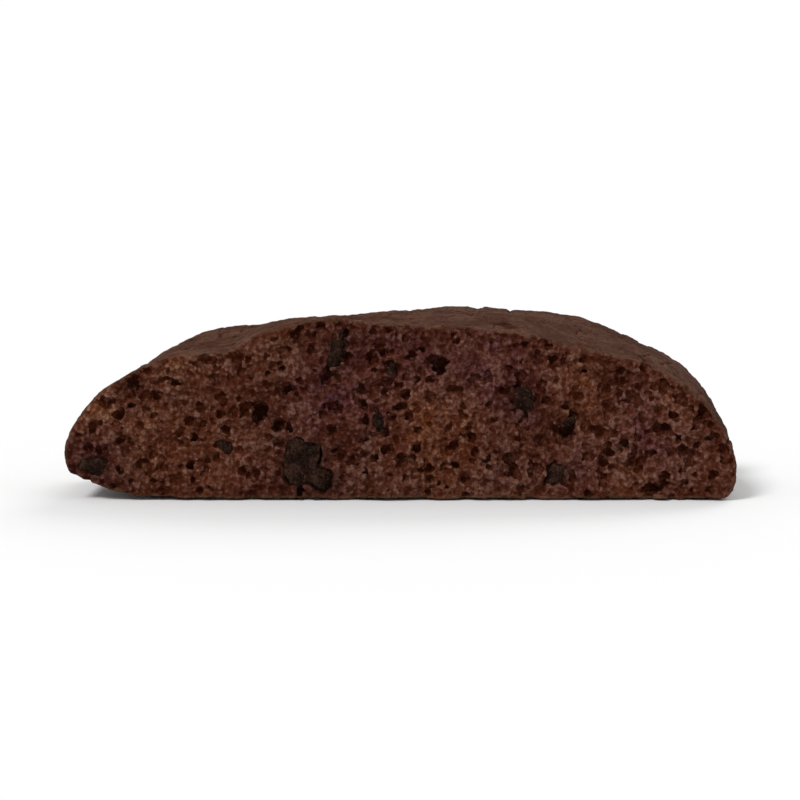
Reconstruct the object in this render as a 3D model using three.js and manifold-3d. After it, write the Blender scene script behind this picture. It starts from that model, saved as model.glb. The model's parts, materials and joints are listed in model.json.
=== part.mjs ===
// A chocolate biscotto: one slice cut across a low, twice-baked loaf, standing on the baked underside
// of that loaf. Both cut faces show a rough crumb with pores, torn hollows and chips and chunks of
// dark chocolate. A thin, smooth crust runs over the dome and the two ends.
//
// Millimetres. +X runs along the cut face, +Y through the slice from the front cut to the back cut,
// +Z up. The origin is on the surface the slice stands on, under the middle of its outline.

import * as THREE from "three";
import { ImprovedNoise } from "three/addons/math/ImprovedNoise.js";
import { mergeVertices } from "three/addons/utils/BufferGeometryUtils.js";
import Module from "manifold-3d";

// Driving dimensions
const LENGTH = 68; // along the cut face, tip to tip
const HEIGHT = 18.2; // base to crown
const THICKNESS = 15.5; // front cut to back cut

// The loaf's outline at each cut, as [share of half the length, share of the height]. The crust runs
// from the left tip over the dome to the right tip. Under it the base is level between two points,
// lifts towards the left tip and turns up round a small corner at the right one.
const FRONT_CUT = {
  crust: [
    [-1, 0.25], [-0.972, 0.42], [-0.9, 0.6], [-0.79, 0.72], [-0.67, 0.81], [-0.52, 0.83],
    [-0.42, 0.945], [-0.26, 1], [-0.03, 0.995], [0.24, 0.967], [0.45, 0.89], [0.72, 0.78],
    [0.86, 0.64], [0.948, 0.42], [0.995, 0.24],
  ],
  leftTip: [-0.985, 0.15],
  level: [-0.42, 0.9],
  rightTip: [0.998, 0.18],
};
const BACK_CUT = {
  crust: [
    [-0.95, 0.27], [-0.91, 0.44], [-0.82, 0.6], [-0.68, 0.77], [-0.54, 0.87], [-0.3, 0.93],
    [0, 0.975], [0.24, 0.995], [0.42, 0.975], [0.56, 0.91], [0.7, 0.815], [0.83, 0.7],
    [0.92, 0.55], [0.965, 0.42], [0.985, 0.25],
  ],
  leftTip: [-0.94, 0.15],
  level: [-0.5, 0.89],
  rightTip: [0.985, 0.18],
};
const TIP_SWEEP = 0.3; // how far the left tip's curve stays low, as a share of its run

// The flat face that the slice stands on. The base is modelled deeper by the spare depth and cut off
// here, and past the face's edges it is worn away by the given rise for each millimetre along.
const REST = { from: -14, to: 31, halfWidth: 6, rise: 0.035, spare: 0.6 };

// Relief, in millimetres of depth and of width
const CELLS = { along: 58, through: 8, up: 16 };
const SWELL = { depth: 0.6, width: 8 }; // the loaf's own unevenness under the crust
const CRAGS = { depth: 0.7, width: 3.4 }; // torn lumps of the cut faces
const CRUMB = { depth: 0.5, width: 1.7 }; // the grain between them
const KNIFE_WANDER = { depth: 0.5, width: 24 }; // the cut faces' own curve
const CORE = { halfLength: 22, height: 7 }; // the loaf's middle line, which the crust swells away from

// Chocolate chips and pores on each cut face, sizes in millimetres of radius
const CHIPS = { count: 5, smallest: 0.5, largest: 1.0, proud: 0.25 };
const PORES = { count: 34, smallest: 0.4, largest: 1.0 };

// They spread evenly: each place is one step on from the last, by these shares of the length and the
// height, and each size and turn by these shares of its range. Places outside the crumb are passed over.
const STEP = { along: 0.7549, up: 0.5698, size: 0.3819, turn: 0.2361 };
const FIRST_STEP = [2440, 501]; // on the front cut and the back cut
const CRUMB_AREA = { halfLength: 30.5, top: 16.4, bottom: 2.4 };

// Larger torn hollows and chunks of chocolate: cut face (0 front, 1 back), x and z of the middle, radii
// along and up, and turn in the face in degrees
const HOLLOWS = [
  { face: 0, x: -14.2, z: 8.9, along: 1.1, up: 0.85, turn: 80 },
  { face: 0, x: -26.8, z: 11.9, along: 1.0, up: 0.65, turn: 120 },
  { face: 0, x: 3.9, z: 13.3, along: 0.9, up: 0.55, turn: 10 },
  { face: 0, x: 0.3, z: 17.9, along: 1.2, up: 0.7, turn: 20 },
  { face: 0, x: 16.8, z: 7.0, along: 1.0, up: 0.6, turn: 35 },
  { face: 0, x: 25.4, z: 1.4, along: 1.3, up: 0.6, turn: 0 },
  { face: 1, x: -19.0, z: 9.5, along: 1.3, up: 0.8, turn: 30 },
  { face: 1, x: 7.5, z: 12.6, along: 1.1, up: 0.7, turn: 100 },
  { face: 1, x: 22.0, z: 6.2, along: 1.2, up: 0.8, turn: 160 },
  { face: 1, x: -2.0, z: 4.6, along: 0.9, up: 0.7, turn: 60 },
];
const CHUNKS = [
  { face: 0, x: -10.1, z: 4.1, along: 2.9, up: 2.1, turn: 70 },
  { face: 0, x: -8.4, z: 2.4, along: 2.0, up: 1.3, turn: -15 },
  { face: 0, x: -31.0, z: 3.4, along: 1.6, up: 0.9, turn: -15 },
  { face: 0, x: -6.5, z: 14.9, along: 1.9, up: 0.85, turn: 72 },
  { face: 0, x: 12.5, z: 10.1, along: 1.35, up: 0.95, turn: 115 },
  { face: 1, x: 12.5, z: 8.0, along: 2.3, up: 1.6, turn: -30 },
  { face: 1, x: -11.5, z: 12.0, along: 1.9, up: 1.3, turn: 20 },
  { face: 1, x: -24.0, z: 4.5, along: 1.5, up: 1.2, turn: 50 },
];
const HOLLOW_DEPTH = 0.8; // of a hollow, as a share of its smaller radius
const CHUNK_PROUD = 0.35; // how far a chunk stands out of the cut

const wasm = await Module();
wasm.setup();
const perlin = new ImprovedNoise();

// Smooth relief between about -depth and depth, whose lumps are about width across.
function relief({ depth, width }, x, y, z) {
  return depth * perlin.noise(x / width, y / width, z / width);
}

// The same draws on every run: a number from 0 to 1 each call.
function seededDraws(seed) {
  let state = seed;
  return () => {
    state = (Math.imul(state, 1664525) + 1013904223) >>> 0;
    return state / 2 ** 32;
  };
}

// One cut's outline as two paths in x and z, from the left tip to the right: over the crust and along
// the base.
function outline({ crust, leftTip, level, rightTip }) {
  const at = ([along, up]) => new THREE.Vector2((along * LENGTH) / 2, up * HEIGHT);
  const [first, ...rest] = crust.map(at);
  const over = new THREE.Path().moveTo(first.x, first.y).splineThru(rest);

  const left = at(leftTip);
  const right = at(rightTip);
  const [levelFrom, levelTo] = level.map((along) => (along * LENGTH) / 2);
  const low = -REST.spare;
  const under = new THREE.Path()
    .moveTo(left.x, left.y)
    .quadraticCurveTo(left.x + TIP_SWEEP * (levelFrom - left.x), low, levelFrom, low)
    .lineTo(levelTo, low)
    .quadraticCurveTo(right.x, low, right.x, right.y);
  return { over, under };
}

const front = outline(FRONT_CUT);
const back = outline(BACK_CUT);

// The loaf at a share along it (0 left tip, 1 right tip), through it (0 front, 1 back) and up it
// (0 base, 1 crust), before the knife's relief.
function inLoaf(along, through, up) {
  const base = front.under.getPointAt(along).lerp(back.under.getPointAt(along), through);
  const crust = front.over.getPointAt(along).lerp(back.over.getPointAt(along), through);
  const y = (through - 0.5) * THICKNESS;
  const core = new THREE.Vector2(
    THREE.MathUtils.clamp(crust.x, -CORE.halfLength, CORE.halfLength),
    CORE.height,
  );
  const outwards = crust.clone().sub(core).normalize();
  crust.addScaledVector(outwards, relief(SWELL, crust.x, y, crust.y));
  const section = base.lerp(crust, up);
  return new THREE.Vector3(section.x, y, section.y);
}

// How far a cut face stands out at x and z; face is 0 for the front cut and 1 for the back one.
function cutRelief(face, x, z) {
  const layer = 40.7 + 100 * face;
  return [KNIFE_WANDER, CRAGS, CRUMB].reduce((sum, scale) => sum + relief(scale, x, layer, z), 0);
}

// The slice before its pores: a finely divided block whose six sides become the base, the dome, the
// two ends and the two cut faces.
function roughSlice() {
  const block = new THREE.BoxGeometry(1, 1, 1, CELLS.along, CELLS.through, CELLS.up);
  const slice = onlyPositions(block);
  const corners = slice.attributes.position;
  for (let i = 0; i < corners.count; i++) {
    const share = new THREE.Vector3().fromBufferAttribute(corners, i).addScalar(0.5);
    const point = inLoaf(share.x, share.y, share.z);
    if (share.y === 0) point.y -= cutRelief(0, point.x, point.z);
    if (share.y === 1) point.y += cutRelief(1, point.x, point.z);
    corners.setXYZ(i, point.x, point.y, point.z);
  }
  return slice;
}

// The space that the slice may fill: a block on the resting face that flares out so widely that its
// sides only wear the base's edges.
function restingBlock() {
  const { from, to, halfWidth, rise } = REST;
  const halfLength = (to - from) / 2;
  const height = 2 * HEIGHT;
  const flare = 1 + height / (rise * halfLength);
  const block = new THREE.CylinderGeometry(flare * Math.SQRT2, Math.SQRT2, height, 4)
    .rotateY(Math.PI / 4)
    .rotateX(Math.PI / 2)
    .scale(halfLength, halfWidth, 1)
    .translate((from + to) / 2, 0, height / 2);
  return onlyPositions(block);
}

// A closed uneven lump about the origin: radii along x, y and z, turned in the XZ plane.
function lump(detail, along, through, up, turn, draw) {
  const shape = onlyPositions(new THREE.IcosahedronGeometry(1, detail));
  const corners = shape.attributes.position;
  for (let i = 0; i < corners.count; i++) {
    const uneven = 0.75 + 0.5 * draw();
    const corner = new THREE.Vector3().fromBufferAttribute(corners, i).multiplyScalar(uneven);
    corners.setXYZ(i, corner.x, corner.y, corner.z);
  }
  return shape.scale(along, through, up).rotateY(THREE.MathUtils.degToRad(-turn));
}

function onlyPositions(geometry) {
  geometry.deleteAttribute("normal");
  geometry.deleteAttribute("uv");
  return mergeVertices(geometry);
}

function solidOf(geometry) {
  return new wasm.Manifold(
    new wasm.Mesh({
      numProp: 3,
      vertProperties: new Float32Array(geometry.attributes.position.array),
      triVerts: new Uint32Array(geometry.index.array),
    }),
  );
}

function geometryOf(solid) {
  const { vertProperties, triVerts } = solid.getMesh();
  return new THREE.BufferGeometry()
    .setAttribute("position", new THREE.BufferAttribute(vertProperties, 3))
    .setIndex(new THREE.BufferAttribute(triVerts, 1));
}

// The same shape with the middle of its outline over the origin.
function overOrigin(geometry) {
  geometry.computeBoundingBox();
  const middle = geometry.boundingBox.getCenter(new THREE.Vector3());
  return geometry.translate(-middle.x, -middle.y, 0);
}

// Moves a lump to a cut face, its middle sunk below the cut by the given depth.
function setInFace(shape, face, x, z, sunk) {
  const outwards = face === 0 ? -1 : 1;
  const y = outwards * (THICKNESS / 2 + cutRelief(face, x, z) - sunk);
  return shape.translate(x, y, z);
}

// One even spread over a cut face, endlessly.
function* spread(face) {
  for (let step = FIRST_STEP[face]; ; step++) {
    const share = (part) => (part * step) % 1;
    const x = LENGTH * (share(STEP.along) - 0.5);
    const z = HEIGHT * share(STEP.up);
    const inCrumb = z > CRUMB_AREA.bottom && Math.hypot(x / CRUMB_AREA.halfLength, z / CRUMB_AREA.top) < 1;
    if (inCrumb) yield { face, x, z, size: share(STEP.size) ** 2, turn: 180 * share(STEP.turn) };
  }
}

// The next places of a spread, each with the radius of what lies there.
function take(places, { count, smallest, largest }) {
  return Array.from({ length: count }, () => {
    const place = places.next().value;
    return { ...place, radius: THREE.MathUtils.lerp(smallest, largest, place.size) };
  });
}

const places = [spread(0), spread(1)];
const chips = places.flatMap((ofFace) => take(ofFace, CHIPS));
const pores = places.flatMap((ofFace) => take(ofFace, PORES));
const draw = seededDraws(11);

const poreLumps = pores.map(({ face, x, z, radius, turn }) =>
  setInFace(lump(0, 1.3 * radius, radius, radius, turn, draw), face, x, z, 0),
);
const hollowLumps = HOLLOWS.map(({ face, x, z, along, up, turn }) =>
  setInFace(lump(1, along, HOLLOW_DEPTH * up, up, turn, draw), face, x, z, 0),
);
const chipLumps = chips.map(({ face, x, z, radius, turn }) => {
  const shape = lump(0, 1.4 * radius, radius, 0.8 * radius, turn, draw);
  return setInFace(shape, face, x, z, radius - CHIPS.proud);
});
const chunkLumps = CHUNKS.map(({ face, x, z, along, up, turn }) =>
  setInFace(lump(1, along, up, up, turn, draw), face, x, z, up - CHUNK_PROUD),
);

let slice = solidOf(roughSlice());
for (const gap of [...poreLumps, ...hollowLumps]) slice = slice.subtract(solidOf(gap));
for (const piece of [...chipLumps, ...chunkLumps]) slice = slice.add(solidOf(piece));
slice = slice.intersect(solidOf(restingBlock()));

const bakedDough = new THREE.MeshStandardMaterial({ color: "#41241b", roughness: 0.9, metalness: 0 });
const biscotto = new THREE.Mesh(overOrigin(geometryOf(slice)), bakedDough);
biscotto.name = "biscotto";

const part = new THREE.Group();
part.add(biscotto);

export default part;
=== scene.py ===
"""The looks of a chocolate biscotto: a slice of a twice-baked loaf, standing on its underside.

Both cuts show a pebbly, torn crumb with pores, chips and chunks of dark chocolate. A thin,
smoother crust runs over the dome, the ends and the base. Pieces are shaped in millimetres and
brought to metres as they are finished.
"""

import json
import math
import random

import bpy
import numpy as np
from mathutils import Euler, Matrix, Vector, noise
from mathutils.bvhtree import BVHTree
from mathutils.kdtree import KDTree

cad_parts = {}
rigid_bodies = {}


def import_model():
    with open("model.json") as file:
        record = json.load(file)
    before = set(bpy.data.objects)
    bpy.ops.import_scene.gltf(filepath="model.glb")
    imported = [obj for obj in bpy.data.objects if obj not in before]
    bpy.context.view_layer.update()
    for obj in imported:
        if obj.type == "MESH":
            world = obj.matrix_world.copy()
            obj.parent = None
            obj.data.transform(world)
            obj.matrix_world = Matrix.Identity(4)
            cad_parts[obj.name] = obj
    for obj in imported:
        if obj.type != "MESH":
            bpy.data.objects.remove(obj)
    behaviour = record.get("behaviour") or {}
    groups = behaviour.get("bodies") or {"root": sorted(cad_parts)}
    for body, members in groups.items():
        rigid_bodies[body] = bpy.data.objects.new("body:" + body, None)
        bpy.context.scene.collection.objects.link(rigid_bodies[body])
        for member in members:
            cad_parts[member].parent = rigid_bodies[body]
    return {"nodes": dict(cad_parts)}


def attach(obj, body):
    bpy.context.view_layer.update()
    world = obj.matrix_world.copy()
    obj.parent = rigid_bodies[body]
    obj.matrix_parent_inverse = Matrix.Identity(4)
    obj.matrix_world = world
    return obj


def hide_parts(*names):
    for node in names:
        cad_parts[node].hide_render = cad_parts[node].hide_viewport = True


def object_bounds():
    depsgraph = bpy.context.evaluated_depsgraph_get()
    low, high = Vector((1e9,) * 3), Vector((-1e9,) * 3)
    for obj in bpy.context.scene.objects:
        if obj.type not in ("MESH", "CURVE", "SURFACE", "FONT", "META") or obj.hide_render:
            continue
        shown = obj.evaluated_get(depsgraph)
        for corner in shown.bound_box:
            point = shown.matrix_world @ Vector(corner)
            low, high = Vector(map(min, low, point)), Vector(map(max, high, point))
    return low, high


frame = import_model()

CAD_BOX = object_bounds()
MM = 0.001  # a millimetre, in metres

# Camera: square on to the front cut, from a little above it, through a long lens
VIEW_ELEVATION = 7.5  # degrees
LENS = 180.0  # millimetres of focal length on a 36 mm sensor
SENSOR = 36.0
SLICE_IN_FRAME = 0.83  # the slice's length, as a share of the picture's width
NEAREST_SEEN = 0.01  # metres
FURTHEST_SEEN = 20.0

# Light, with angles in degrees: azimuth 0 is square on to the front cut, 90 is over the right end
SUN = dict(azimuth=-38, elevation=46, strength=1.9, softness=18)
RIM_SUN = dict(azimuth=150, elevation=38, strength=0.75, softness=30)
SKY = 0.58
BACKGROUND = 0.93
FLOOR_TONE = 0.87
FLOOR_RADIUS = 3.0  # metres

# Body mesh, in millimetres
VOXEL = 0.15
MOST_TRIANGLES = 196000
CRUST_REACH = 6.2  # every facet of the crust has a corner nearer the middle plane than this
UNDERSIDE = 1.0  # the base's facets lie lower than this
RIM = (0.12, 0.45)  # how far in from the crust the cut turns into open crumb
RIM_MEASURED = 4.0  # how far in from the crust the distance to it still matters
RIDGE_ROUNDS = 10  # of smoothing, for the surroundings that a ridge stands out of

# What is torn out of each cut and what clings to it, radii in millimetres. Pores and grains keep
# off the crust by a clearance and a share of their radius. Nicks break through it, no further
# from it than their reach, a share of their radius.
PORES = dict(
    count=2600, smallest=0.12, largest=0.50, rarity=4.2, flat=(0.8, 1.5), sunk=(0.0, 0.8)
)
GRAINS = dict(
    count=1300, smallest=0.15, largest=0.36, rarity=2.0, flat=(0.8, 1.3), sunk=(0.2, 0.9)
)
NICKS = dict(
    count=26, smallest=0.25, largest=0.60, rarity=2.0, flat=(0.9, 1.8), sunk=(0.0, 0.5), reach=0.5
)
LUMP_SEED = 7
LUMP_SHAPES = 12
LUMP_LEAN = 0.4  # radians, at most, out of the cut
THICKNESS = (0.8, 1.3)  # of a lump through the slice, as a share of its radius
CLEARANCE = 0.2
CLEARANCE_SHARE = 0.7
UNEVEN = 0.32  # of a lump's radius
OUTSIDE = 20  # further out than either cut

# Larger torn pits, in millimetres and degrees: side, x, z, radii along and up, and turn
PITS = [
    (-1, -14.2, 8.9, 1.15, 0.9, 80), (-1, -26.4, 11.2, 1.0, 0.6, -55),
    (-1, -12.3, 5.8, 0.7, 0.5, 20), (-1, -7.3, 12.6, 0.8, 0.5, 75),
    (-1, -5.7, 17.0, 0.6, 0.45, 70), (-1, 3.9, 13.3, 0.9, 0.55, 10),
    (-1, -0.3, 9.5, 0.6, 0.45, 0), (-1, 5.2, 5.6, 0.6, 0.45, 30),
    (-1, 0.3, 17.7, 1.1, 0.6, 20), (-1, 16.8, 7.0, 1.0, 0.6, 35),
    (-1, 25.4, 1.4, 1.2, 0.5, 0), (-1, 22.5, 12.0, 0.8, 0.5, 60),
    (1, -19.0, 9.5, 1.3, 0.8, 30), (1, 7.5, 12.6, 1.1, 0.7, 100),
    (1, 22.0, 6.2, 1.2, 0.8, 160), (1, -2.0, 4.6, 0.9, 0.7, 60),
    (1, -8.0, 15.0, 0.8, 0.5, 10), (1, 28.0, 10.0, 0.8, 0.5, 120),
]
PIT_DEPTH = 1.15  # in from the cut

# The unevenness of the surface, with the size of its marks and its strength in millimetres
RELIEF = [
    dict(group="cut", kind="VORONOI", size=1.05, strength=-0.42, level=0.45),
    dict(
        group="cut", kind="VORONOI", size=0.52, strength=-0.22, level=0.45,
        distance_metric="MANHATTAN",
    ),
    dict(group="cut", kind="CLOUDS", size=1.6, strength=0.45, noise_depth=2),
    dict(
        group="cut", kind="CLOUDS", size=0.6, strength=0.25, level=0.3,
        noise_type="HARD_NOISE", noise_depth=1,
    ),
    dict(
        group="crust", kind="CLOUDS", size=2.6, strength=0.30, level=0.4,
        noise_type="HARD_NOISE", noise_depth=2,
    ),
    dict(group="crust", kind="CLOUDS", size=0.8, strength=0.13, noise_depth=2),
    dict(group="crust", kind="VORONOI", size=1.1, strength=0.16, level=1.0, ramp=(0.05, 0.35)),
]

# Fine cracks of the crust, in millimetres
CRACK_SEED = 23
CRACK_CELLS = 90
CRACK_WIDTH = 0.30
CRACK_DEPTH = 0.22
CRACK_BEND = (2.2, 1.3)  # width and depth of its wandering
CRACK_RUN = 5.0  # the distance over which a crack opens and closes
CRACK_OPENING = (4, 0.15)  # how fast it opens, and how much more of the crust is cracked than half
CRACK_LOWEST = 0.8  # no crack runs lower than this

# The chocolate, by the places and sizes of the solid's own lumps, in millimetres and degrees
LENGTH = 68.0
HEIGHT = 18.2
OFFSET = 0.11  # of the outline's middle, along the slice
CHUNKS = [
    dict(side=-1, x=-10.1, z=4.1, along=2.9, up=2.1, turn=70),
    dict(side=-1, x=-8.4, z=2.4, along=2.0, up=1.3, turn=-15),
    dict(side=-1, x=-31.0, z=3.4, along=1.6, up=0.9, turn=-15),
    dict(side=-1, x=-6.5, z=14.9, along=1.9, up=0.85, turn=72),
    dict(side=-1, x=12.5, z=10.1, along=1.35, up=0.95, turn=115),
    dict(side=1, x=12.5, z=8.0, along=2.3, up=1.6, turn=-30),
    dict(side=1, x=-11.5, z=12.0, along=1.9, up=1.3, turn=20),
    dict(side=1, x=-24.0, z=4.5, along=1.5, up=1.2, turn=50),
]
CHIPS_ON_A_CUT = 5
SMALLEST_CHIP = 0.5
LARGEST_CHIP = 1.0
CHIP_SHAPE = (1.4, 0.9)  # a chip's radii along and up, as shares of its radius
STEP = dict(along=0.7549, up=0.5698, size=0.3819, turn=0.2361)
FIRST_STEP = {-1: 2440, 1: 501}

# Tints and darker patches of the crumb, some of them painted shadow: x, z, reach and strength of
# each patch of the front cut, mirrored on the back one
PLUM_PATCHES = [
    (-7.0, 10.6, 4.2, 1.0), (-2.5, 13.8, 3.8, 0.9), (9.2, 14.0, 4.4, 1.0), (12.6, 10.6, 2.8, 0.8),
    (24.9, 6.6, 2.8, 0.9), (-15.0, 1.8, 2.6, 0.7), (-31.2, 4.6, 2.6, 1.0), (18.6, 2.6, 2.6, 0.6),
    (3.4, 14.8, 4.0, 0.8), (-2.2, 9.6, 2.6, 0.6), (24.0, 10.2, 2.6, 0.5),
]
TAN_PATCHES = [
    (3.0, 8.2, 2.8, 1.0), (4.8, 4.4, 3.4, 0.6), (18.4, 11.0, 3.0, 0.7), (27.4, 9.4, 2.4, 0.5),
    (-31.2, 9.0, 2.8, 1.0), (-17.4, 4.6, 3.6, 0.6), (-24.5, 6.6, 4.4, 0.5),
    (-22.0, 13.2, 3.2, 0.5), (-12.4, 15.0, 2.6, 0.5), (22.5, 2.2, 3.0, 0.4), (5.6, 8.6, 2.2, 0.8),
]
# Darker crumb, partly painted shadow, as at the right end's shoulder and under the left tip
DARK_AND_SHADOW_PATCHES = [
    (-8.8, 2.6, 4.2, 1.0), (-32.2, 2.0, 4.0, 1.0), (-6.2, 15.6, 2.4, 0.9), (-7.4, 11.8, 1.7, 0.8),
    (-14.0, 9.0, 1.7, 0.7), (12.3, 9.9, 2.2, 0.7), (21.2, 12.4, 1.9, 0.6), (-21.3, 10.4, 1.9, 0.4),
    (15.8, 7.0, 1.9, 0.5), (31.4, 10.4, 2.2, 0.8), (9.0, 5.3, 1.7, 0.4), (0.2, 17.4, 2.2, 0.5),
    (-11.6, 14.6, 2.6, 0.5), (-29.0, 0.6, 2.6, 0.8), (-26.7, 11.8, 1.3, 0.9),
]
PLUM, TAN, DARK_AND_SHADOW = (0.74, 0.58, 0.92), (1.72, 1.86, 1.40), (0.38, 0.34, 0.38)
CRUMB_AREA = dict(half_length=30.5, top=16.4, bottom=2.4)
PROUD = 0.16  # how far a chip's knife-cut face stands out of the crumb
# A lump's shape as shares of its radii: in the cut, through it, and how far in its middle lies
AS_GIVEN = dict(in_cut=1.0, through=1.0, inside=1.0)
PIECE = dict(in_cut=1.22, through=1.22, inside=1.0)
SOCKET = dict(in_cut=0.86, through=1.30, inside=0.2)
CHOCOLATE_VOXEL = 0.09
CHOCOLATE_TRIANGLES = 70000  # at most, in each of its pieces
CHOCOLATE_UNEVEN = 0.26
CHOCOLATE_RAGGED = 1.2
CHOCOLATE_RELIEF = [
    dict(kind="CLOUDS", size=1.1, strength=0.14, noise_depth=1),
    dict(
        kind="CLOUDS", size=0.35, strength=0.06, level=0.4,
        noise_type="HARD_NOISE", noise_depth=1,
    ),
]
KNIFE_LEVEL = (0.5, 1.3)  # of how far a chip stands out
KNIFE_LEAN = 0.07
RING = dict(reach=1.4, points=16)  # round a lump, where the crumb's level is taken
STAIN = (1.0, 1.7)  # of a lump's radii: where its fat's stain begins to fade, and where it ends
HELD_BY_CHOCOLATE = 0.7  # how much less the crumb right beside a lump is pebbled


# ---------------------------------------------------------------- small helpers

def only(obj):
    """Leaves this object alone selected and active."""
    bpy.ops.object.select_all(action="DESELECT")
    obj.select_set(True)
    bpy.context.view_layer.objects.active = obj


def modified(obj, kind, **settings):
    """Adds a modifier with these settings and applies it."""
    only(obj)
    modifier = obj.modifiers.new(kind.lower(), kind)
    for name, value in settings.items():
        setattr(modifier, name, value)
    bpy.ops.object.modifier_apply(modifier=modifier.name)


def rescaled(obj, factor):
    only(obj)
    obj.scale = (factor, factor, factor)
    bpy.ops.object.transform_apply(location=False, rotation=False, scale=True)


def linked(name, mesh):
    obj = bpy.data.objects.new(name, mesh)
    bpy.context.scene.collection.objects.link(obj)
    return obj


def per_vertex(obj, what):
    """The places or the normals of the mesh's vertices, one row each."""
    found = np.empty(len(obj.data.vertices) * 3, np.float32)
    obj.data.vertices.foreach_get(what, found)
    return found.reshape(-1, 3)


def corners(obj):
    return per_vertex(obj, "co")


def set_corners(obj, places):
    obj.data.vertices.foreach_set("co", np.asarray(places, np.float32).ravel())
    obj.data.update()


def tree_of(obj):
    return BVHTree.FromPolygons(
        [v.co.copy() for v in obj.data.vertices],
        [tuple(p.vertices) for p in obj.data.polygons],
    )


def smoothstep(low, high, value):
    share = np.clip((value - low) / (high - low), 0.0, 1.0)
    return share * share * (3.0 - 2.0 * share)


def weighted(obj, name, weights):
    """A vertex group with one weight for each vertex, to the nearest fiftieth."""
    group = obj.vertex_groups.new(name=name)
    steps = np.round(np.asarray(weights) * 50).astype(int)
    for step in range(1, 51):
        members = np.nonzero(steps == step)[0].tolist()
        if members:
            group.add(members, step / 50, "REPLACE")


def attribute(obj, name, values):
    layer = obj.data.attributes.new(name, "FLOAT", "POINT")
    layer.data.foreach_set("value", np.asarray(values, np.float32))


# ---------------------------------------------------------------- lumps: pores, grains, chocolate

def uneven_balls():
    """The corners of a few balls whose surface is pushed about at random, and their facets."""
    shapes = []
    for seed in range(LUMP_SHAPES):
        bpy.ops.object.select_all(action="DESELECT")
        bpy.ops.mesh.primitive_ico_sphere_add(subdivisions=2, radius=1.0)
        ball = bpy.context.object
        bpy.ops.object.mode_set(mode="EDIT")
        bpy.ops.mesh.select_all(action="SELECT")
        bpy.ops.transform.vertex_random(offset=UNEVEN, uniform=0.3, normal=0.5, seed=seed)
        bpy.ops.object.mode_set(mode="OBJECT")
        shapes.append(corners(ball))
        facets = np.array([tuple(p.vertices) for p in ball.data.polygons])
        bpy.data.meshes.remove(ball.data)
    return shapes, facets


def cloud(name, lumps):
    """Many uneven lumps, each (middle, radii, turn), merged into closed bodies."""
    shapes, facets = uneven_balls()
    places, rings = [], []
    for number, (middle, radii, turn) in enumerate(lumps):
        shape = shapes[number % len(shapes)] * np.array(radii)
        places.append(shape @ np.array(turn.to_matrix().transposed()) + np.array(middle))
        rings.append(facets + number * len(shape))
    mesh = bpy.data.meshes.new(name)
    mesh.from_pydata(np.concatenate(places).tolist(), [], np.concatenate(rings).tolist())
    obj = linked(name, mesh)
    modified(obj, "REMESH", mode="VOXEL", voxel_size=VOXEL)
    return obj


def scattered(surface, crust, side, settings, draw):
    """Lumps at random places of one cut. Most are tiny and a few are large."""
    lumps = []
    smallest, largest = settings["smallest"], settings["largest"]
    while len(lumps) < settings["count"]:
        x, z = draw.uniform(-LENGTH / 2, LENGTH / 2), draw.uniform(0.2, HEIGHT)
        radius = smallest + (largest - smallest) * draw.random() ** settings["rarity"]
        hit = surface.ray_cast(Vector((x, side * OUTSIDE, z)), Vector((0, -side, 0)))[0]
        if hit is None or side * hit.y < CRUST_REACH:
            continue
        from_crust = crust.find_nearest(hit)[3]
        nick = "reach" in settings
        if nick and from_crust > settings["reach"] * radius:
            continue
        if not nick and from_crust < CLEARANCE + CLEARANCE_SHARE * radius:
            continue
        middle = hit - Vector((0, side, 0)) * radius * draw.uniform(*settings["sunk"])
        flat, thick = draw.uniform(*settings["flat"]), draw.uniform(*THICKNESS)
        radii = (radius * flat, radius * thick, radius)
        turn = Euler((draw.uniform(-LUMP_LEAN, LUMP_LEAN), draw.uniform(0, math.tau), 0))
        lumps.append((middle, radii, turn))
    return lumps


def torn_pits(surface):
    """The larger pits as (middle, radii, turn), each with a smaller hollow beside it."""
    lumps = []
    for side, x, z, along, up, turn in PITS:
        middle = Vector((x + OFFSET, side * OUTSIDE, z))
        hit = surface.ray_cast(middle, Vector((0, -side, 0)))[0]
        turned = Euler((0, math.radians(-turn), 0))
        lumps.append((hit, (along, PIT_DEPTH, up), turned))
        beside = hit + turned.to_matrix() @ Vector((0.9 * along, 0, 0.5 * up))
        lumps.append((beside, (0.5 * along, 0.6 * PIT_DEPTH, 0.6 * up), turned))
    return lumps


def chip_places(side):
    """The even spread of chips over one cut."""
    places = []
    step = FIRST_STEP[side]
    while len(places) < CHIPS_ON_A_CUT:
        share = {part: (factor * step) % 1 for part, factor in STEP.items()}
        step += 1
        x, z = LENGTH * (share["along"] - 0.5), HEIGHT * share["up"]
        if z < CRUMB_AREA["bottom"]:
            continue
        if math.hypot(x / CRUMB_AREA["half_length"], z / CRUMB_AREA["top"]) >= 1:
            continue
        radius = SMALLEST_CHIP + (LARGEST_CHIP - SMALLEST_CHIP) * share["size"] ** 2
        along, up = CHIP_SHAPE[0] * radius, CHIP_SHAPE[1] * radius
        places.append(dict(side=side, x=x, z=z, along=along, up=up, turn=180 * share["turn"]))
    return places


def cut_level(surface, side, middle, reach, turn):
    """How far the crumb just round a lump stands from the slice's middle plane."""
    levels = []
    for number in range(RING["points"]):
        angle = math.tau * number / RING["points"]
        around = Vector((reach[0] * math.cos(angle), 0, reach[1] * math.sin(angle)))
        start = middle + turn.to_matrix() @ around
        start.y = side * OUTSIDE
        hit = surface.ray_cast(start, Vector((0, -side, 0)))[0]
        if hit is not None and side * hit.y > CRUST_REACH:
            levels.append(side * hit.y)
    return float(np.median(levels))


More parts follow.
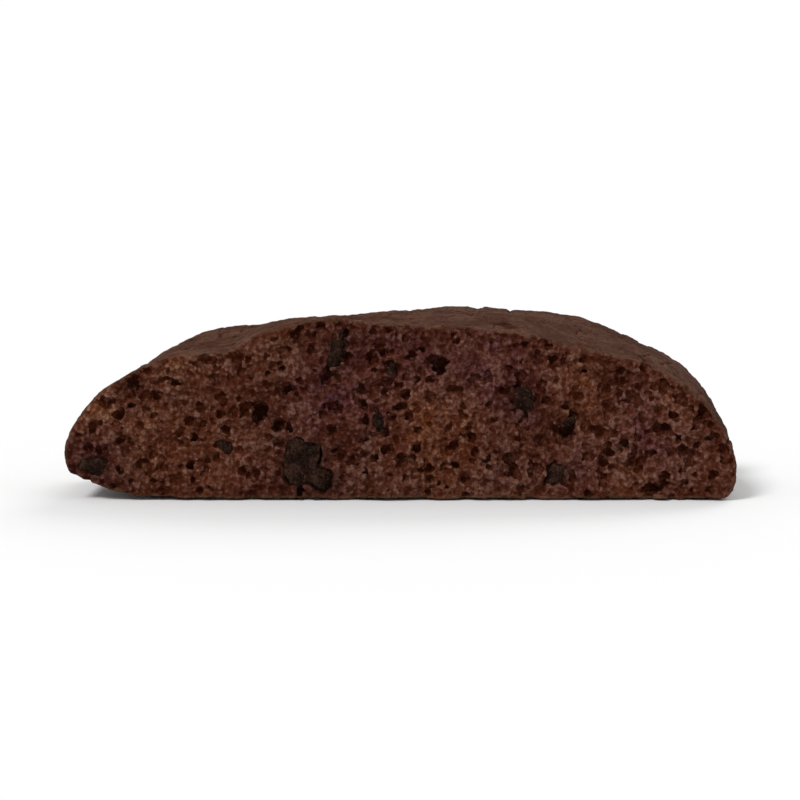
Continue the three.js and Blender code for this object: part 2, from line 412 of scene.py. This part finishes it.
def chocolate_lumps(places, surface, shape):
    """The chocolate as (middle, radii, turn, side, level)."""
    lumps = []
    for place in places:
        along, up, side = place["along"], place["up"], place["side"]
        middle = Vector((place["x"] + OFFSET, 0, place["z"]))
        turn = Euler((0, math.radians(-place["turn"]), 0))
        reach = RING["reach"] * along, RING["reach"] * up
        level = cut_level(surface, side, middle, reach, turn)
        middle.y = side * (level + PROUD - shape["inside"] * up)
        radii = shape["in_cut"] * along, shape["through"] * up, shape["in_cut"] * up
        lumps.append((middle, radii, turn, side, level))
    return lumps


def chocolate_pieces(name, lumps, seed):
    """Lumps of chocolate, each sliced by the knife that cut the loaf, level with the crumb."""
    draw = random.Random(seed)
    made = []
    for number, (middle, radii, turn, side, level) in enumerate(lumps):
        bpy.ops.object.select_all(action="DESELECT")
        bpy.ops.mesh.primitive_ico_sphere_add(subdivisions=2, radius=1.0)
        lump = bpy.context.object
        bpy.ops.object.mode_set(mode="EDIT")
        bpy.ops.mesh.select_all(action="SELECT")
        bpy.ops.transform.vertex_random(
            offset=CHOCOLATE_UNEVEN, uniform=0.2, normal=0.5, seed=seed + number
        )
        bpy.ops.mesh.subdivide(number_cuts=2, fractal=CHOCOLATE_RAGGED, seed=seed + number)
        bpy.ops.object.mode_set(mode="OBJECT")
        lump.location, lump.scale, lump.rotation_euler = middle, radii, turn
        bpy.ops.object.transform_apply(location=True, rotation=True, scale=True)
        bpy.ops.object.mode_set(mode="EDIT")
        bpy.ops.mesh.select_all(action="SELECT")
        knife = middle.copy()
        knife.y = side * (level + draw.uniform(*KNIFE_LEVEL) * PROUD)
        across, upwards = [draw.uniform(-KNIFE_LEAN, KNIFE_LEAN) for _ in range(2)]
        lean = Vector((across, side, upwards))
        bpy.ops.mesh.bisect(plane_co=knife, plane_no=lean, use_fill=True, clear_outer=True)
        bpy.ops.object.mode_set(mode="OBJECT")
        made.append(lump)
    bpy.ops.object.select_all(action="DESELECT")
    for lump in made:
        lump.select_set(True)
    bpy.context.view_layer.objects.active = made[0]
    bpy.ops.object.join()
    pieces = bpy.context.object
    pieces.name = pieces.data.name = name
    modified(pieces, "REMESH", mode="VOXEL", voxel_size=CHOCOLATE_VOXEL)
    modified(pieces, "SMOOTH", factor=0.5, iterations=2)
    for layer in CHOCOLATE_RELIEF:
        displaced(pieces, **layer)
    thinned(pieces, CHOCOLATE_TRIANGLES)
    only(pieces)
    bpy.ops.object.shade_smooth()
    return pieces


def thinned(obj, most_triangles):
    """Collapses the shortest edges until the mesh has no more triangles than this."""
    ratio = min(1.0, most_triangles / (2 * len(obj.data.polygons)))
    modified(obj, "DECIMATE", ratio=ratio, use_collapse_triangulate=True)


def displaced(obj, kind, size, strength, group="", level=0.5, ramp=None, **settings):
    """Moves the surface in and out by a procedural pattern whose marks are about size across."""
    pattern = bpy.data.textures.new(kind.lower(), kind)
    pattern.noise_scale = size
    for name, value in settings.items():
        setattr(pattern, name, value)
    if ramp:
        pattern.use_color_ramp = True
        low, high = pattern.color_ramp.elements
        low.position, high.position = ramp
        low.color, high.color = (0, 0, 0, 1), (1, 1, 1, 1)
    modified(
        obj, "DISPLACE", texture=pattern, texture_coords="LOCAL", strength=strength,
        mid_level=level, vertex_group=group,
    )
    bpy.data.textures.remove(pattern)


# ---------------------------------------------------------------- the slice's body

def copied_node(node, name):
    """The CAD node's shape as an object of its own, merged, in millimetres."""
    mesh = frame["nodes"][node].data.copy()
    mesh.materials.clear()
    obj = linked(name, mesh)
    rescaled(obj, 1 / MM)
    bpy.ops.object.mode_set(mode="EDIT")
    bpy.ops.mesh.select_all(action="SELECT")
    bpy.ops.mesh.remove_doubles(threshold=0.001)
    bpy.ops.object.mode_set(mode="OBJECT")
    return obj


def crust_tree(obj):
    """The facets of the dome, the ends and the base, without those of either cut."""
    places = [v.co.copy() for v in obj.data.vertices]

    def is_crust(polygon):
        nearest = min(abs(places[i].y) for i in polygon.vertices)
        around = abs(polygon.normal.y) < 0.5 and nearest < CRUST_REACH
        under = polygon.normal.z < -0.9 and polygon.center.z < UNDERSIDE
        return around or under

    return BVHTree.FromPolygons(
        places, [tuple(p.vertices) for p in obj.data.polygons if is_crust(p)]
    )


def depth_from(tree, places):
    """How far each place lies from the nearest point of the tree."""
    return np.array([tree.find_nearest(Vector(p))[3] for p in places])


def sunk_below(tree, places):
    """How far each place lies below the even surface, in millimetres, and above it below zero."""
    depths = []
    for place in places:
        nearest, normal, _, _ = tree.find_nearest(Vector(place))
        depths.append((nearest - Vector(place)).dot(normal))
    return depths


def standing_out(obj):
    """How far each vertex stands out of its smoothed surroundings, in millimetres."""
    smoothed = linked("smoothed", obj.data.copy())
    modified(smoothed, "SMOOTH", factor=0.5, iterations=RIDGE_ROUNDS)
    out = ((corners(obj) - corners(smoothed)) * per_vertex(obj, "normal")).sum(axis=1)
    bpy.data.meshes.remove(smoothed.data)
    return out


def stained(lumps, places):
    """A mask of the crumb around each lump of chocolate, which its fat has darkened."""
    mask = np.zeros(len(places))
    for middle, radii, turn, _, _ in lumps:
        inside = (places - np.array(middle)) @ np.array(turn.to_matrix()) / np.array(radii)
        mask = np.maximum(mask, 1 - smoothstep(*STAIN, np.linalg.norm(inside, axis=1)))
    return mask


def crack_cells(crust, surface):
    """The middles of the patches that cracks part the crust into."""
    noise.seed_set(CRACK_SEED)
    draw = random.Random(CRACK_SEED)
    cells = KDTree(CRACK_CELLS)
    for number in range(CRACK_CELLS):
        along, around = draw.uniform(-LENGTH / 2, LENGTH / 2), draw.uniform(0, math.pi)
        start = Vector((along + 30 * math.cos(around), draw.uniform(-9, 9), 40 * math.sin(around)))
        hit = surface.ray_cast(start, (Vector((along, start.y, 4)) - start).normalized())[0]
        cells.insert(hit or start, number)
    cells.balance()
    return cells


def cracked(cells, places):
    """A mask of the fine cracks between the patches, which open and close along their way."""
    width, depth = CRACK_BEND
    steepness, more = CRACK_OPENING
    mask = np.zeros(len(places))
    for number, place in enumerate(places):
        spot = Vector(place)
        opening = noise.noise(spot / CRACK_RUN) + more
        if opening <= 0 or place[2] < CRACK_LOWEST:
            continue
        bent = spot + depth * noise.noise_vector(spot / width)
        (_, _, nearest), (_, _, next_one) = cells.find_n(bent, 2)
        seam = max(0.0, 1 - (next_one - nearest) / CRACK_WIDTH)
        mask[number] = min(1.0, steepness * opening) * seam
    return mask


def patchy(patches, places):
    """A mask of these round patches, mirrored from the front cut to the back one."""
    x, z = places[:, 0] * -np.sign(places[:, 1]), places[:, 2]
    mask = np.zeros(len(places))
    for patch_x, patch_z, reach, strength in patches:
        apart = ((x - patch_x) ** 2 + (z - patch_z) ** 2) / reach**2
        mask = np.maximum(mask, strength * np.exp(-apart))
    return mask


def without_loose_bits(obj):
    """Deletes what isn't joined to the slice's lowest corner: loose crumbs and sealed bubbles."""
    only(obj)
    bpy.ops.object.mode_set(mode="EDIT")
    bpy.ops.mesh.select_mode(type="VERT")
    bpy.ops.mesh.select_all(action="DESELECT")
    bpy.ops.object.mode_set(mode="OBJECT")
    obj.data.vertices[int(np.argmin(corners(obj)[:, 2]))].select = True
    bpy.ops.object.mode_set(mode="EDIT")
    bpy.ops.mesh.select_linked()
    bpy.ops.mesh.select_all(action="INVERT")
    bpy.ops.mesh.delete(type="VERT")
    bpy.ops.object.mode_set(mode="OBJECT")


def crumb_body(body, crust, chocolate):
    """The whole slice: torn and pebbly on both cuts, with a smoother crust around them."""
    modified(body, "REMESH", mode="VOXEL", voxel_size=VOXEL)
    modified(body, "SMOOTH", factor=0.5, iterations=4)
    even = tree_of(body)

    draw = random.Random(LUMP_SEED)
    torn, clinging, nicks = [
        sum((scattered(even, crust, side, kind, draw) for side in (-1, 1)), [])
        for kind in (PORES, GRAINS, NICKS)
    ]
    grains = cloud("grains", clinging)
    modified(body, "BOOLEAN", object=grains, operation="UNION", solver="MANIFOLD")
    sockets = [lump[:3] for lump in chocolate_lumps(chocolate, even, SOCKET)]
    pores = cloud("pores", torn + nicks + torn_pits(even) + sockets)
    modified(body, "BOOLEAN", object=pores, operation="DIFFERENCE", solver="MANIFOLD")
    for cutter in (grains, pores):
        bpy.data.meshes.remove(cutter.data)
    modified(body, "REMESH", mode="VOXEL", voxel_size=VOXEL)
    without_loose_bits(body)

    into_cut = smoothstep(*RIM, depth_from(crust, corners(body)))
    beside = stained(chocolate_lumps(chocolate, even, SOCKET), corners(body))
    weighted(body, "cut", into_cut * (1 - HELD_BY_CHOCOLATE * beside))
    weighted(body, "crust", 1 - into_cut)
    for layer in RELIEF:
        displaced(body, **layer)

    seams = crack_cells(crust, even)
    places = corners(body)
    depth = CRACK_DEPTH * (1 - into_cut) * cracked(seams, places)
    places -= per_vertex(body, "normal") * depth[:, None]
    places[:, 2] = np.maximum(places[:, 2], 0.0)
    set_corners(body, places)
    thinned(body, MOST_TRIANGLES)
    body.vertex_groups.clear()

    places = corners(body)
    attribute(body, "rim", np.minimum(depth_from(crust, places), RIM_MEASURED))
    attribute(body, "sunk", sunk_below(even, places))
    # How far the surface stands out of its surroundings, which the colours use as painted
    # highlight on ridges and painted shade in hollows
    attribute(body, "ridge_light_and_shade", standing_out(body))
    attribute(body, "stain", stained(chocolate_lumps(chocolate, even, AS_GIVEN), places))
    attribute(body, "crack", cracked(seams, places))
    attribute(body, "plum", patchy(PLUM_PATCHES, places))
    attribute(body, "tan", patchy(TAN_PATCHES, places))
    # The darker patches, partly painted shadow
    attribute(body, "dark", patchy(DARK_AND_SHADOW_PATCHES, places))
    only(body)
    bpy.ops.object.shade_smooth()
    return even


# ---------------------------------------------------------------- finishes

def placed(tree, kind, inputs=None, **settings):
    """Adds a shader node. Each input is a plain value, or a socket to link it to."""
    made = tree.nodes.new("ShaderNode" + kind)
    for name, value in settings.items():
        setattr(made, name, value)
    for key, value in (inputs or {}).items():
        if isinstance(value, bpy.types.NodeSocket):
            tree.links.new(value, made.inputs[key])
        else:
            made.inputs[key].default_value = value
    return made


def worked(tree, operation, *values):
    return placed(tree, "Math", dict(enumerate(values)), operation=operation).outputs[0]


def blended(tree, share, first, second, blend="MIX"):
    inputs = {0: share, 6: first, 7: second}
    return placed(tree, "Mix", inputs, data_type="RGBA", blend_type=blend).outputs[2]


def between(tree, value, low, high, to_low=0.0, to_high=1.0):
    """Maps a value softly from one range to another, and stops at its ends."""
    inputs = {
        "Value": value, "From Min": low, "From Max": high, "To Min": to_low, "To Max": to_high,
    }
    return placed(tree, "MapRange", inputs, interpolation_type="SMOOTHSTEP").outputs["Result"]


def summed(tree, start, *parts):
    """A start value plus each part's value times its weight; a part is (value, weight)."""
    for value, weight in parts:
        start = worked(tree, "MULTIPLY_ADD", value, weight, start)
    return start


def toned(tree, value, stops):
    """Colours along a value: stops of (place, colour)."""
    ramp = placed(tree, "ValToRGB", {"Fac": value})
    elements = ramp.color_ramp.elements
    for place, colour in stops[1:-1]:
        elements.new(place).color = (*colour, 1)
    for element, (place, colour) in ((elements[0], stops[0]), (elements[-1], stops[-1])):
        element.position, element.color = place, (*colour, 1)
    return ramp.outputs["Color"]


def surface_value(tree, name):
    return placed(tree, "Attribute", attribute_name=name).outputs["Fac"]


def group(name, inputs, outputs):
    """A shader node group with float sockets, and its input and output nodes."""
    tree = bpy.data.node_groups.new(name, "ShaderNodeTree")
    add = tree.interface.new_socket
    for socket, value in inputs.items():
        add(socket, in_out="INPUT", socket_type="NodeSocketFloat").default_value = value
    for socket in outputs:
        add(socket, in_out="OUTPUT", socket_type="NodeSocketFloat")
    given = tree.nodes.new("NodeGroupInput").outputs
    result = tree.nodes.new("NodeGroupOutput").inputs
    return tree, given, result


def spots_across(tree, size, shift):
    """Object coordinates counted in marks of this size in millimetres, moved by a shift."""
    place = placed(tree, "TexCoord").outputs["Object"]
    marks = worked(tree, "DIVIDE", 1 / MM, size)
    scaled = placed(tree, "VectorMath", {0: place, "Scale": marks}, operation="SCALE").outputs[0]
    return placed(tree, "VectorMath", {0: scaled, 1: shift}, operation="ADD").outputs[0]


def mottling_group():
    """Soft uneven patches, 0 to 1."""
    tree, given, result = group(
        "mottling", dict(Size=3.0, Shift=0.0, Low=0.38, High=0.62), ["Mask"]
    )
    where = spots_across(tree, given["Size"], given["Shift"])
    waves = placed(
        tree, "TexNoise", {"Vector": where, "Scale": 1.0, "Detail": 3.0, "Roughness": 0.6}
    )
    mask = between(tree, waves.outputs["Fac"], given["Low"], given["High"])
    tree.links.new(mask, result["Mask"])
    return tree


def grain_group():
    """Packed uneven grains: their height, and a tone of its own for each."""
    tree, given, result = group("grain", dict(Size=0.4, Shift=0.0), ["Height", "Tone"])
    where = spots_across(tree, given["Size"], given["Shift"])
    bend = placed(tree, "TexNoise", {"Vector": where, "Scale": 1.7, "Detail": 2.0})
    moved = {0: bend.outputs["Color"], 1: (0.9, 0.9, 0.9), 2: where}
    bent = placed(tree, "VectorMath", moved, operation="MULTIPLY_ADD").outputs[0]
    cells = placed(tree, "TexVoronoi", {"Vector": bent, "Scale": 1.0, "Randomness": 1.0})
    height = between(tree, cells.outputs["Distance"], 0.75, 0.0)
    tree.links.new(height, result["Height"])
    tone = placed(tree, "SeparateColor", {"Color": cells.outputs["Color"]}).outputs[0]
    tree.links.new(tone, result["Tone"])
    return tree


def pinhole_group():
    """Scattered round pinholes: 1 inside them."""
    tree, given, result = group("pinholes", dict(Spacing=2.0, Shift=0.0, Radius=0.12), ["Mask"])
    where = spots_across(tree, given["Spacing"], given["Shift"])
    cells = placed(tree, "TexVoronoi", {"Vector": where, "Scale": 1.0, "Randomness": 1.0})
    edge = worked(tree, "DIVIDE", given["Radius"], given["Spacing"])
    random_size = placed(tree, "SeparateColor", {"Color": cells.outputs["Color"]}).outputs[1]
    edge = worked(tree, "MULTIPLY", edge, between(tree, random_size, 0.2, 1.0, 0.2, 1.6))
    mask = between(tree, worked(tree, "DIVIDE", cells.outputs["Distance"], edge), 1.1, 0.7)
    tree.links.new(mask, result["Mask"])
    return tree


MOTTLING = mottling_group()
GRAIN = grain_group()
PINHOLES = pinhole_group()


def from_group(tree, shared, output=0, **inputs):
    made = tree.nodes.new("ShaderNodeGroup")
    made.node_tree = shared
    for name, value in inputs.items():
        made.inputs[name].default_value = value
    return made.outputs[output]


def blank(name):
    material = bpy.data.materials.new(name)
    material.use_nodes = True
    tree = material.node_tree
    return material, tree, tree.nodes["Principled BSDF"]


def feed(tree, shader, **sockets):
    for name, socket in sockets.items():
        tree.links.new(socket, shader.inputs[name.replace("_", " ")])


CRUMB_TONES = [
    (0.0, (0.0385, 0.0072, 0.0019)),
    (0.28, (0.0520, 0.0124, 0.0053)),
    (0.52, (0.0720, 0.0222, 0.0130)),
    (0.76, (0.1080, 0.0425, 0.0288)),
    (1.0, (0.1590, 0.0800, 0.0590)),
]
CRUST_TONES = [
    (0.0, (0.0340, 0.0108, 0.0052)),
    (0.5, (0.0640, 0.0248, 0.0138)),
    (1.0, (0.1080, 0.0510, 0.0312)),
]
CHOCOLATE_TONES = [
    (0.0, (0.0034, 0.0012, 0.0006)),
    (0.5, (0.0135, 0.0056, 0.0032)),
    (1.0, (0.0400, 0.0190, 0.0120)),
]
FLOURY = (0.175, 0.108, 0.078, 1)
CLINGING_CRUMBS = (0.050, 0.0185, 0.0105, 1)
STAINED = (0.50, 0.44, 0.42, 1)
# Painted shade inside the crust's pinholes
PINHOLE_PAINTED_SHADE = (0.42, 0.36, 0.34, 1)
# Painted shade in the crust's cracks
CRACK_PAINTED_SHADE = (0.50, 0.40, 0.36, 1)


def shaded(tree, share, colour, shade):
    """The colour, multiplied by a shade where the share says so."""
    return blended(tree, share, colour, shade, "MULTIPLY")


def dough_finish():
    """Pebbly reddish-brown crumb inside, and a paler, greyer, floury crust around it."""
    material, tree, shader = blank("chocolate_dough")
    rim, sunk, ridge_light_and_shade, stain, cracks = [
        surface_value(tree, name) for name in ("rim", "sunk", "ridge_light_and_shade", "stain", "crack")
    ]
    wobble = from_group(tree, MOTTLING, Size=1.1, Shift=31.0)
    crumb = between(tree, summed(tree, -0.18, (wobble, 0.36), (rim, 1.0)), 0.12, 0.42)

    fine = from_group(tree, MOTTLING, Size=0.3, Shift=3.0)
    small = from_group(tree, MOTTLING, Size=0.9, Shift=5.0)
    broad = from_group(tree, MOTTLING, Size=6.0, Shift=9.0)
    grains = from_group(tree, GRAIN, Size=0.42)
    grain_tone = from_group(tree, GRAIN, output=1, Size=0.42)
    # Painted shade in pores and pits: the crumb's tone is darker the deeper it lies below the even
    # surface
    pits = between(tree, sunk, 0.15, 0.9)
    dense = between(tree, rim, 0.4, 1.3, 1.0, 0.0)
    # The tone carries painted highlight on the crumb's ridges and painted shade in its hollows
    tone = summed(
        tree, 0.14, (ridge_light_and_shade, 2.4), (fine, 0.23), (small, 0.16), (broad, 0.21), (grains, 0.13),
        (grain_tone, 0.17), (pits, -0.08), (dense, -0.10),
    )
    crumb_colour = toned(tree, tone, CRUMB_TONES)
    uneven = from_group(tree, MOTTLING, Size=1.4, Shift=17.0)
    spread = summed(tree, between(tree, uneven, 0.0, 1.0, 0.3, 1.0), (pits, -0.45))
    # Plum and tan tints, and darker patches that are partly painted shadow
    for name, tint in (("plum", PLUM), ("tan", TAN), ("dark", DARK_AND_SHADOW)):
        share = worked(tree, "MULTIPLY", surface_value(tree, name), spread)
        crumb_colour = shaded(tree, share, crumb_colour, (*tint, 1))
    crumb_colour = shaded(tree, worked(tree, "MULTIPLY", stain, 0.8), crumb_colour, STAINED)

    baked = from_group(tree, MOTTLING, Size=3.4, Shift=41.0)
    freckles = from_group(tree, MOTTLING, Size=0.45, Shift=43.0)
    crust_grain = from_group(tree, GRAIN, Size=0.7, Shift=47.0)
    # The tone carries painted highlight on the crust's ridges and painted shade in its hollows
    crust_tone = summed(
        tree, 0.10, (baked, 0.40), (freckles, 0.24), (crust_grain, 0.16), (ridge_light_and_shade, 2.0)
    )
    crust_colour = toned(tree, crust_tone, CRUST_TONES)
    patches = from_group(tree, MOTTLING, Size=7.0, Shift=53.0, Low=0.42, High=0.66)
    powder = from_group(tree, MOTTLING, Size=0.22, Shift=59.0, Low=0.48, High=0.66)
    dust = worked(tree, "MULTIPLY", worked(tree, "MULTIPLY", patches, powder), 0.5)
    crust_colour = blended(tree, dust, crust_colour, FLOURY)
    holes = from_group(tree, PINHOLES, Spacing=1.7, Radius=0.16)
    # Painted shade inside the pinholes, which are only dents in the bump
    crust_colour = shaded(tree, holes, crust_colour, PINHOLE_PAINTED_SHADE)
    # Painted shade in the cracks, on top of their real grooves
    crust_colour = shaded(tree, between(tree, cracks, 0.1, 0.8), crust_colour, CRACK_PAINTED_SHADE)

    colour = blended(tree, crumb, crust_colour, crumb_colour)
    feed(tree, shader, Base_Color=colour)
    feed(tree, shader, Roughness=between(tree, crumb, 0, 1, 0.80, 0.95))
    shader.inputs["Specular IOR Level"].default_value = 0.03

    crumb_height = summed(tree, 0.0, (grains, 0.6), (fine, 0.5))
    crust_height = summed(tree, 0.0, (crust_grain, 0.25), (freckles, 0.25), (holes, -0.9))
    heights = {0: crumb, 2: crust_height, 3: crumb_height}
    height = placed(tree, "Mix", heights, data_type="FLOAT").outputs[0]
    bump = placed(tree, "Bump", {"Strength": 0.9, "Distance": 0.12 * MM, "Height": height})
    feed(tree, shader, Normal=bump.outputs["Normal"])
    return material


def chocolate_finish():
    """Dark chocolate: dull and mottled from the oven, a little smoother where the knife went."""
    material, tree, shader = blank("dark_chocolate")
    patches = from_group(tree, MOTTLING, Size=1.3, Shift=2.0)
    fine = from_group(tree, MOTTLING, Size=0.25, Shift=7.0)
    tone = summed(tree, 0.0, (patches, 0.55), (fine, 0.45))
    colour = toned(tree, tone, CHOCOLATE_TONES)
    crumbs = from_group(tree, MOTTLING, Size=0.36, Shift=11.0, Low=0.56, High=0.68)
    colour = blended(tree, crumbs, colour, CLINGING_CRUMBS)
    feed(tree, shader, Base_Color=colour)
    feed(tree, shader, Roughness=between(tree, tone, 0.2, 0.8, 0.66, 0.48))
    shader.inputs["Specular IOR Level"].default_value = 0.04
    height = summed(tree, 0.0, (fine, 0.5), (crumbs, 0.9))
    bump = placed(tree, "Bump", {"Strength": 0.8, "Distance": 0.06 * MM, "Height": height})
    feed(tree, shader, Normal=bump.outputs["Normal"])
    return material


# ---------------------------------------------------------------- camera, floor and light

def camera():
    low, high = CAD_BOX
    middle = (low + high) / 2
    width = (high.x - low.x) / SLICE_IN_FRAME
    away = width * LENS / SENSOR
    tilt = math.radians(VIEW_ELEVATION)
    back = Vector((0, -math.cos(tilt), math.sin(tilt)))
    bpy.ops.object.select_all(action="DESELECT")
    bpy.ops.object.camera_add(location=middle + back * away)
    cam = bpy.context.object
    cam.rotation_mode = "QUATERNION"
    cam.rotation_quaternion = (-back).to_track_quat("-Z", "Y")
    cam.data.lens = LENS
    cam.data.sensor_width = SENSOR
    cam.data.clip_start = NEAREST_SEEN
    cam.data.clip_end = FURTHEST_SEEN
    bpy.context.scene.camera = cam


def floor():
    bpy.ops.object.select_all(action="DESELECT")
    bpy.ops.mesh.primitive_circle_add(vertices=96, radius=FLOOR_RADIUS, fill_type="NGON")
    obj = bpy.context.object
    obj.name = "floor"
    material, _, shader = blank("pale_floor")
    shader.inputs["Base Color"].default_value = (FLOOR_TONE, FLOOR_TONE, FLOOR_TONE, 1)
    shader.inputs["Roughness"].default_value = 0.9
    shader.inputs["Specular IOR Level"].default_value = 0.1
    obj.data.materials.append(material)


def sun(name, azimuth, elevation, strength, softness):
    """A soft distant light."""
    across, up = math.radians(azimuth), math.radians(elevation)
    level = Vector((math.sin(across), -math.cos(across), 0))
    towards = math.cos(up) * level + Vector((0, 0, math.sin(up)))
    bpy.ops.object.select_all(action="DESELECT")
    bpy.ops.object.light_add(type="SUN", location=towards)
    lamp = bpy.context.object
    lamp.name = name
    lamp.data.energy = strength
    lamp.data.angle = math.radians(softness)
    lamp.rotation_mode = "QUATERNION"
    lamp.rotation_quaternion = (-towards).to_track_quat("-Z", "Y")


def sky():
    """Even light all round, seen by the camera as the same pale tone as the floor."""
    world = bpy.data.worlds.new("studio")
    world.use_nodes = True
    tree = world.node_tree
    light = tree.nodes["Background"]
    light.inputs["Color"].default_value = (1, 1, 1, 1)
    seen = placed(tree, "LightPath").outputs["Is Camera Ray"]
    strength = placed(tree, "Mix", {0: seen, 2: SKY, 3: BACKGROUND}, data_type="FLOAT").outputs[0]
    tree.links.new(strength, light.inputs["Strength"])
    bpy.context.scene.world = world


camera()
floor()
sun("window", **SUN)
sun("back_light", **RIM_SUN)
sky()
bpy.context.scene.view_settings.view_transform = "Standard"

body = copied_node("biscotto", "biscotto_crumb")
crust = crust_tree(body)
chips = chip_places(-1) + chip_places(1)
even = crumb_body(body, crust, CHUNKS + chips)
chunk_lumps, chip_lumps = [chocolate_lumps(kind, even, PIECE) for kind in (CHUNKS, chips)]
chunk_pieces = chocolate_pieces("chocolate_chunks", chunk_lumps, seed=1)
chip_pieces = chocolate_pieces("chocolate_chips", chip_lumps, seed=101)

dough, chocolate = dough_finish(), chocolate_finish()
for piece, material in ((body, dough), (chunk_pieces, chocolate), (chip_pieces, chocolate)):
    piece.data.materials.clear()
    piece.data.materials.append(material)
    rescaled(piece, MM)
    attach(piece, "root")
    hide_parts("biscotto")
